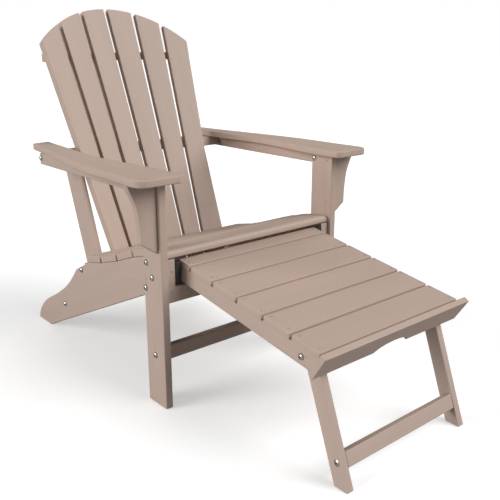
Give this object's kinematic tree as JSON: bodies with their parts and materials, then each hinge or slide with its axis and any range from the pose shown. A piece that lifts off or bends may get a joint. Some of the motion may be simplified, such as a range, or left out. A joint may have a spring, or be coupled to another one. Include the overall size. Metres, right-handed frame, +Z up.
{
  "type": "adirondack chair with ottoman",
  "caption": "Slatted garden lounge chair with a fanned reclining back, wide flat arms and a slatted footrest on folding legs that slides and tilts under the seat.",
  "frame": {"origin": "on the ground, under the middle of the whole object's bounding box, with the ottoman pulled out", "axes": "+X to the sitter's left, +Y to the rear (the chair faces -Y), +Z up"},
  "size_m": [0.74, 1.2856, 0.9619],
  "materials": {
    "lumber": "matt taupe plastic lumber with a faint lengthwise grain",
    "stainless": "polished domed bolt heads",
    "nylon": "black moulded nylon"
  },
  "bodies": {
    "chair": {"stringer_l": "lumber", "stringer_r": "lumber", "front_leg_l": "lumber", "front_leg_r": "lumber", "corbel_l": "lumber", "corbel_r": "lumber", "arm_rail_l": "lumber", "arm_rail_r": "lumber", "armrest_l": "lumber", "armrest_r": "lumber", "rear_post_l": "lumber", "rear_post_r": "lumber", "post_spacer_l": "lumber", "post_spacer_r": "lumber", "front_apron": "lumber", "front_stretcher": "lumber", "bottom_back_support": "lumber", "lower_back_support": "lumber", "upper_back_support": "lumber", "rear_foot_brace": "lumber", "back_slat_1": "lumber", "back_slat_2": "lumber", "back_slat_3": "lumber", "back_slat_4": "lumber", "back_slat_5": "lumber", "back_slat_6": "lumber", "seat_slat_1": "lumber", "seat_slat_2": "lumber", "seat_slat_3": "lumber", "seat_slat_4": "lumber", "seat_slat_5": "lumber", "leg_bolt_upper_l": "stainless", "leg_bolt_upper_r": "stainless", "leg_bolt_middle_l": "stainless", "leg_bolt_middle_r": "stainless", "leg_bolt_lower_l": "stainless", "leg_bolt_lower_r": "stainless", "stretcher_bolt_l": "stainless", "stretcher_bolt_r": "stainless", "post_bolt_l": "stainless", "post_bolt_r": "stainless", "rail_bolt_l": "stainless", "rail_bolt_r": "stainless"},
    "glides": {"ottoman_glide_l": "nylon", "ottoman_glide_r": "nylon"},
    "ottoman": {"ottoman_slat_1": "lumber", "ottoman_slat_2": "lumber", "ottoman_slat_3": "lumber", "ottoman_slat_4": "lumber", "ottoman_slat_5": "lumber", "ottoman_slat_6": "lumber", "ottoman_rail_l": "lumber", "ottoman_rail_r": "lumber", "ottoman_end_board": "lumber", "leg_pivot_bolt_l": "stainless", "leg_pivot_bolt_r": "stainless"},
    "leg_frame": {"ottoman_leg_l": "lumber", "ottoman_leg_r": "lumber", "ottoman_leg_stretcher": "lumber"}
  },
  "joints": [
    {"name": "ottoman_tilt", "type": "hinge", "parent": "chair", "child": "glides", "pos_m": [0, -0.11065, 0.34266], "axis": [-1, 0, 0], "range_deg": [0, 30.7]},
    {"name": "ottoman_slide", "type": "slide", "parent": "glides", "child": "ottoman", "axis": [0, 0.9866, 0.1633], "range_m": [0, 0.17]},
    {"name": "leg_fold", "type": "hinge", "parent": "ottoman", "child": "leg_frame", "pos_m": [0, -0.52585, 0.2673], "axis": [1, 0, 0], "range_deg": [0, 119.5]}
  ],
  "couplings": [
    {"joint": "ottoman_tilt", "follows": "ottoman_slide", "rad_per_m": 3.1416}
  ]
}
